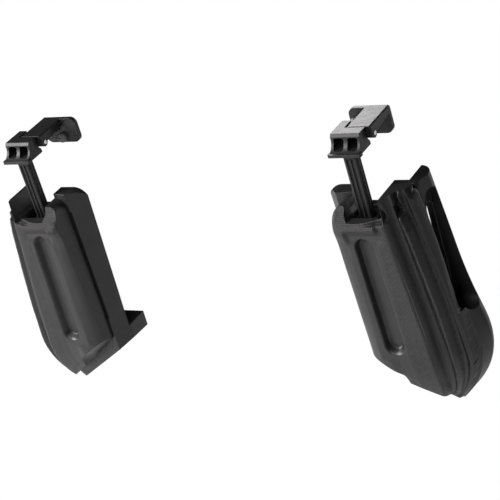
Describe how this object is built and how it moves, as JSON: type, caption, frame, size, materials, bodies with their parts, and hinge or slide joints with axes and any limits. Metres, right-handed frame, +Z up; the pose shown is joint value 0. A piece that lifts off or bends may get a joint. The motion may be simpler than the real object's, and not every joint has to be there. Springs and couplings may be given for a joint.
{
  "type": "phone gaming grip pair",
  "caption": "Mirrored hand grips that clip to the ends of a phone held sideways, each with a sprung clamp arm, a fluted rear shell and a hinged trigger over the screen edge.",
  "frame": {"origin": "middle of the plane on which the back of the phone rests", "axes": "+X along the phone from the left to the right grip as seen on the screen's far side, +Y out of the back rests towards the screen, +Z up to the clamp hooks"},
  "size_m": [0.1886, 0.0285, 0.1063],
  "materials": {
    "shell_plastic": "satin moulded black, fine textured strip beside the finger groove",
    "arm_plastic": "satin moulded black, slightly glossier than the shells",
    "soft_pad": "dull black anti-slip pad",
    "conductive_rubber": "dull dark grey conductive rubber",
    "bright_steel": "bright ground steel",
    "spring_steel": "drawn spring wire"
  },
  "bodies": {
    "grips": {"right_rear_shell": "shell_plastic", "right_cradle": "shell_plastic", "right_back_pad": "soft_pad", "right_ledge_pad": "soft_pad", "right_end_pad": "soft_pad", "right_cover_screws": "bright_steel", "right_arm_guide": "shell_plastic", "right_spring_post": "bright_steel", "right_arm_spring": "spring_steel", "left_rear_shell": "shell_plastic", "left_cradle": "shell_plastic", "left_back_pad": "soft_pad", "left_ledge_pad": "soft_pad", "left_end_pad": "soft_pad", "left_cover_screws": "bright_steel", "left_arm_guide": "shell_plastic", "left_spring_post": "bright_steel", "left_arm_spring": "spring_steel"},
    "right_arm": {"right_clamp_arm": "arm_plastic", "right_hook_pad": "soft_pad", "right_trigger_pin": "bright_steel", "right_trigger_spring": "spring_steel"},
    "right_trigger": {"right_trigger_lever": "arm_plastic", "right_trigger_tip": "conductive_rubber"},
    "left_arm": {"left_clamp_arm": "arm_plastic", "left_hook_pad": "soft_pad", "left_trigger_pin": "bright_steel", "left_trigger_spring": "spring_steel"},
    "left_trigger": {"left_trigger_lever": "arm_plastic", "left_trigger_tip": "conductive_rubber"}
  },
  "joints": [
    {"name": "right_arm_slide", "type": "slide", "parent": "grips", "child": "right_arm", "axis": [0, 0, 1], "range_m": [-0.013, 0.011], "deforming": ["right_arm_spring"]},
    {"name": "right_trigger_press", "type": "hinge", "parent": "right_arm", "child": "right_trigger", "pos_m": [0.067, -0.0022, 0.0397], "axis": [-1, 0, 0], "range_deg": [0, 5.5], "stiffness_Nm_per_rad": 0.08},
    {"name": "left_arm_slide", "type": "slide", "parent": "grips", "child": "left_arm", "axis": [0, 0, 1], "range_m": [-0.013, 0.011], "deforming": ["left_arm_spring"]},
    {"name": "left_trigger_press", "type": "hinge", "parent": "left_arm", "child": "left_trigger", "pos_m": [-0.067, -0.0022, 0.0397], "axis": [-1, 0, 0], "range_deg": [0, 5.5], "stiffness_Nm_per_rad": 0.08}
  ]
}
